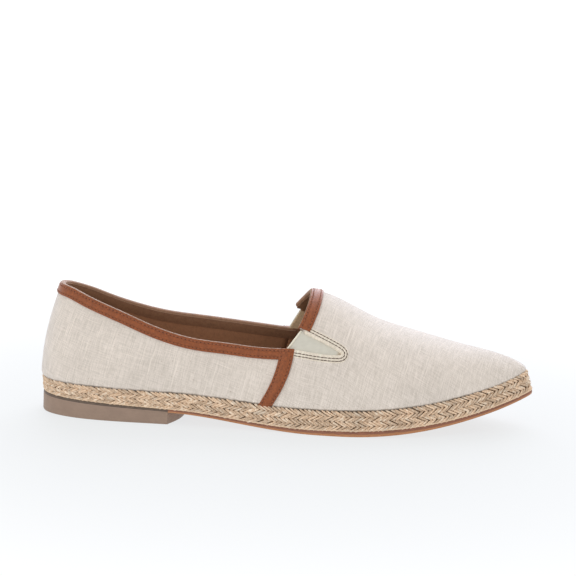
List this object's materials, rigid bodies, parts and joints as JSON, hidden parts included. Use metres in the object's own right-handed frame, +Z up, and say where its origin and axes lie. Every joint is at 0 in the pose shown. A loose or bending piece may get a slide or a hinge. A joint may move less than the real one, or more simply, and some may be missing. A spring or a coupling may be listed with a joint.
{
  "type": "loafer",
  "caption": "Slip-on linen loafer for the right foot, with a pointed toe, leather edging, elastic side gores, a plaited jute rand and a low heel.",
  "frame": {"origin": "on the floor, at the middle of the shoe's length and width", "axes": "+X points to the toe, +Y to the inner (medial) side of the right foot, +Z up"},
  "size_m": [0.2669, 0.0857, 0.0711],
  "materials": {
    "linen": "slubbed off-white linen",
    "leather": "tan, semi-matt, stitched",
    "elastic": "pale grey-green ribbed elastic",
    "jute": "natural plaited jute",
    "core": "natural, hidden",
    "outsole": "orange-brown, satin edge",
    "heel": "taupe, matt",
    "lining": "dark brown, matt"
  },
  "bodies": {
    "root": {"outsole": "outsole", "heel": "heel", "midsole": "core", "insole": "lining", "rand": "jute", "upper": "linen", "quarter_binding": "leather", "throat_binding": "leather", "side_strip_lateral": "leather", "side_strip_medial": "leather", "gore_lateral": "elastic", "gore_medial": "elastic"}
  },
  "joints": []
}
